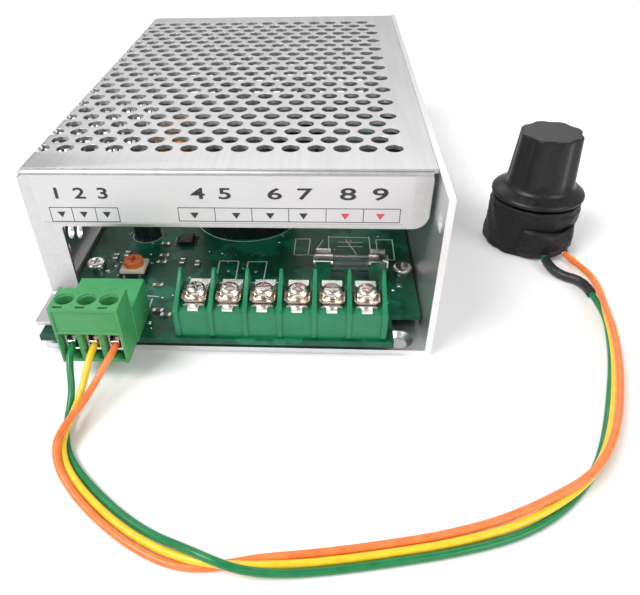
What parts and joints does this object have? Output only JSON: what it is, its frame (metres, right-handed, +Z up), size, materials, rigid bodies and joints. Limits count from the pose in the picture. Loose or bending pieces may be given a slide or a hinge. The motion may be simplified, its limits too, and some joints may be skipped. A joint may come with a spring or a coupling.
{
  "type": "electronic motor speed controller",
  "caption": "Vented metal case holding a motor-control board with a barrier terminal strip, a pluggable screw terminal and a remote potentiometer knob on free wires.",
  "frame": {"origin": "centre of the case base's underside, on the surface that the case and the potentiometer stand on", "axes": "+X to the right seen from the terminals, +Y to the back (the terminals face -Y), +Z up"},
  "size_m": [0.1481, 0.2211, 0.042],
  "materials": {
    "sheet": "satin, bead-brushed",
    "cover_sheet": "satin",
    "screw_steel": "plated, bright",
    "label_film": "satin film",
    "board": "solder mask over glass epoxy",
    "barrier_green": "semi-gloss",
    "plug_green": "satin",
    "socket_green": "satin",
    "tin": "tin plate",
    "trimmer_body": "matte",
    "trimmer_orange": "matte",
    "glass_tube": "clear",
    "sleeve_black": "shrink film",
    "ferrite": "enamelled copper over a core",
    "chip_black": "matte",
    "pad_grey": "matte",
    "chip_parts": "matte",
    "boot_rubber": "matte, wrinkled",
    "zinc": "plated",
    "bushing_brass": "turned",
    "shaft_alu": "turned",
    "knob_black": "satin",
    "wire_green": "PVC",
    "wire_yellow": "PVC",
    "wire_orange": "PVC",
    "shrink": "shrink tube"
  },
  "bodies": {
    "case": {"chassis": "sheet", "cover_top": "cover_sheet", "cover_side": "cover_sheet", "cover_front": "cover_sheet", "cover_leg": "cover_sheet", "cover_back": "cover_sheet", "cover_lip": "cover_sheet", "cover_screws": "screw_steel", "front_label": "label_film", "circuit_board": "board", "board_standoffs": "screw_steel", "board_screws": "screw_steel", "barrier_block": "barrier_green", "barrier_contacts": "tin", "header_socket": "socket_green", "header_pins": "tin", "trimmer_base": "trimmer_body", "fuse_clips": "tin", "fuse_glass": "glass_tube", "fuse_caps": "tin", "bulk_capacitor": "sleeve_black", "small_capacitor": "sleeve_black", "choke": "ferrite", "bridge_rectifier": "chip_black", "power_transistors": "chip_black", "insulating_pads": "pad_grey", "transistor_screws": "screw_steel", "control_chip": "chip_black", "small_parts": "chip_parts", "pot_boot": "boot_rubber", "pot_case": "zinc", "pot_bushing": "bushing_brass", "pot_terminals": "tin"},
    "plug": {"plug_housing": "plug_green", "plug_contacts": "tin", "wire_green": "wire_green", "wire_yellow": "wire_yellow", "wire_orange": "wire_orange", "wire_sleeve": "shrink"},
    "knob": {"knob": "knob_black", "pot_shaft": "shaft_alu"},
    "trimmer": {"trimmer_rotor": "trimmer_orange"},
    "clamp_1": {"terminal_clamp_1": "screw_steel"},
    "clamp_screw_1": {"terminal_screw_1": "screw_steel"},
    "clamp_2": {"terminal_clamp_2": "screw_steel"},
    "clamp_screw_2": {"terminal_screw_2": "screw_steel"},
    "clamp_3": {"terminal_clamp_3": "screw_steel"},
    "clamp_screw_3": {"terminal_screw_3": "screw_steel"},
    "clamp_4": {"terminal_clamp_4": "screw_steel"},
    "clamp_screw_4": {"terminal_screw_4": "screw_steel"},
    "clamp_5": {"terminal_clamp_5": "screw_steel"},
    "clamp_screw_5": {"terminal_screw_5": "screw_steel"},
    "clamp_6": {"terminal_clamp_6": "screw_steel"},
    "clamp_screw_6": {"terminal_screw_6": "screw_steel"},
    "cage_1": {"plug_cage_1": "tin"},
    "cage_screw_1": {"plug_screw_1": "screw_steel"},
    "cage_2": {"plug_cage_2": "tin"},
    "cage_screw_2": {"plug_screw_2": "screw_steel"},
    "cage_3": {"plug_cage_3": "tin"},
    "cage_screw_3": {"plug_screw_3": "screw_steel"}
  },
  "joints": [
    {"name": "plug_pull", "type": "slide", "parent": "case", "child": "plug", "axis": [0, -1, 0], "range_m": [0, 0.009]},
    {"name": "knob_turn", "type": "hinge", "parent": "case", "child": "knob", "pos_m": [0.0857, -0.022, 0.017], "axis": [0, 0, 1], "range_deg": [-150, 150]},
    {"name": "trimmer_turn", "type": "hinge", "parent": "case", "child": "trimmer", "pos_m": [-0.0304, -0.0534, 0.0085], "axis": [0, 0, 1], "range_deg": [-130, 130]},
    {"name": "clamp_1_lift", "type": "slide", "parent": "case", "child": "clamp_1", "axis": [0, 0, 1], "range_m": [0, 0.002]},
    {"name": "clamp_screw_1_turn", "type": "hinge", "parent": "clamp_1", "child": "clamp_screw_1", "pos_m": [-0.00852, -0.075, 0.0155], "axis": [0, 0, 1], "range_deg": [0, 1440]},
    {"name": "clamp_2_lift", "type": "slide", "parent": "case", "child": "clamp_2", "axis": [0, 0, 1], "range_m": [0, 0.002]},
    {"name": "clamp_screw_2_turn", "type": "hinge", "parent": "clamp_2", "child": "clamp_screw_2", "pos_m": [-0.00028, -0.075, 0.0155], "axis": [0, 0, 1], "range_deg": [0, 1440]},
    {"name": "clamp_3_lift", "type": "slide", "parent": "case", "child": "clamp_3", "axis": [0, 0, 1], "range_m": [0, 0.002]},
    {"name": "clamp_screw_3_turn", "type": "hinge", "parent": "clamp_3", "child": "clamp_screw_3", "pos_m": [0.00797, -0.075, 0.0155], "axis": [0, 0, 1], "range_deg": [0, 1440]},
    {"name": "clamp_4_lift", "type": "slide", "parent": "case", "child": "clamp_4", "axis": [0, 0, 1], "range_m": [0, 0.002]},
    {"name": "clamp_screw_4_turn", "type": "hinge", "parent": "clamp_4", "child": "clamp_screw_4", "pos_m": [0.01622, -0.075, 0.0155], "axis": [0, 0, 1], "range_deg": [0, 1440]},
    {"name": "clamp_5_lift", "type": "slide", "parent": "case", "child": "clamp_5", "axis": [0, 0, 1], "range_m": [0, 0.002]},
    {"name": "clamp_screw_5_turn", "type": "hinge", "parent": "clamp_5", "child": "clamp_screw_5", "pos_m": [0.02448, -0.075, 0.0155], "axis": [0, 0, 1], "range_deg": [0, 1440]},
    {"name": "clamp_6_lift", "type": "slide", "parent": "case", "child": "clamp_6", "axis": [0, 0, 1], "range_m": [0, 0.002]},
    {"name": "clamp_screw_6_turn", "type": "hinge", "parent": "clamp_6", "child": "clamp_screw_6", "pos_m": [0.03272, -0.075, 0.0155], "axis": [0, 0, 1], "range_deg": [0, 1440]},
    {"name": "cage_1_drop", "type": "slide", "parent": "plug", "child": "cage_1", "axis": [0, 0, -1], "range_m": [0, 0.0015]},
    {"name": "cage_screw_1_turn", "type": "hinge", "parent": "plug", "child": "cage_screw_1", "pos_m": [-0.03513, -0.088, 0.0155], "axis": [0, 0, 1], "range_deg": [0, 1080]},
    {"name": "cage_2_drop", "type": "slide", "parent": "plug", "child": "cage_2", "axis": [0, 0, -1], "range_m": [0, 0.0015]},
    {"name": "cage_screw_2_turn", "type": "hinge", "parent": "plug", "child": "cage_screw_2", "pos_m": [-0.03005, -0.088, 0.0155], "axis": [0, 0, 1], "range_deg": [0, 1080]},
    {"name": "cage_3_drop", "type": "slide", "parent": "plug", "child": "cage_3", "axis": [0, 0, -1], "range_m": [0, 0.0015]},
    {"name": "cage_screw_3_turn", "type": "hinge", "parent": "plug", "child": "cage_screw_3", "pos_m": [-0.02497, -0.088, 0.0155], "axis": [0, 0, 1], "range_deg": [0, 1080]}
  ],
  "couplings": [
    {"joint": "clamp_screw_1_turn", "follows": "clamp_1_lift", "rad_per_m": 12566},
    {"joint": "clamp_screw_2_turn", "follows": "clamp_2_lift", "rad_per_m": 12566},
    {"joint": "clamp_screw_3_turn", "follows": "clamp_3_lift", "rad_per_m": 12566},
    {"joint": "clamp_screw_4_turn", "follows": "clamp_4_lift", "rad_per_m": 12566},
    {"joint": "clamp_screw_5_turn", "follows": "clamp_5_lift", "rad_per_m": 12566},
    {"joint": "clamp_screw_6_turn", "follows": "clamp_6_lift", "rad_per_m": 12566},
    {"joint": "cage_screw_1_turn", "follows": "cage_1_drop", "rad_per_m": 12566},
    {"joint": "cage_screw_2_turn", "follows": "cage_2_drop", "rad_per_m": 12566},
    {"joint": "cage_screw_3_turn", "follows": "cage_3_drop", "rad_per_m": 12566}
  ]
}
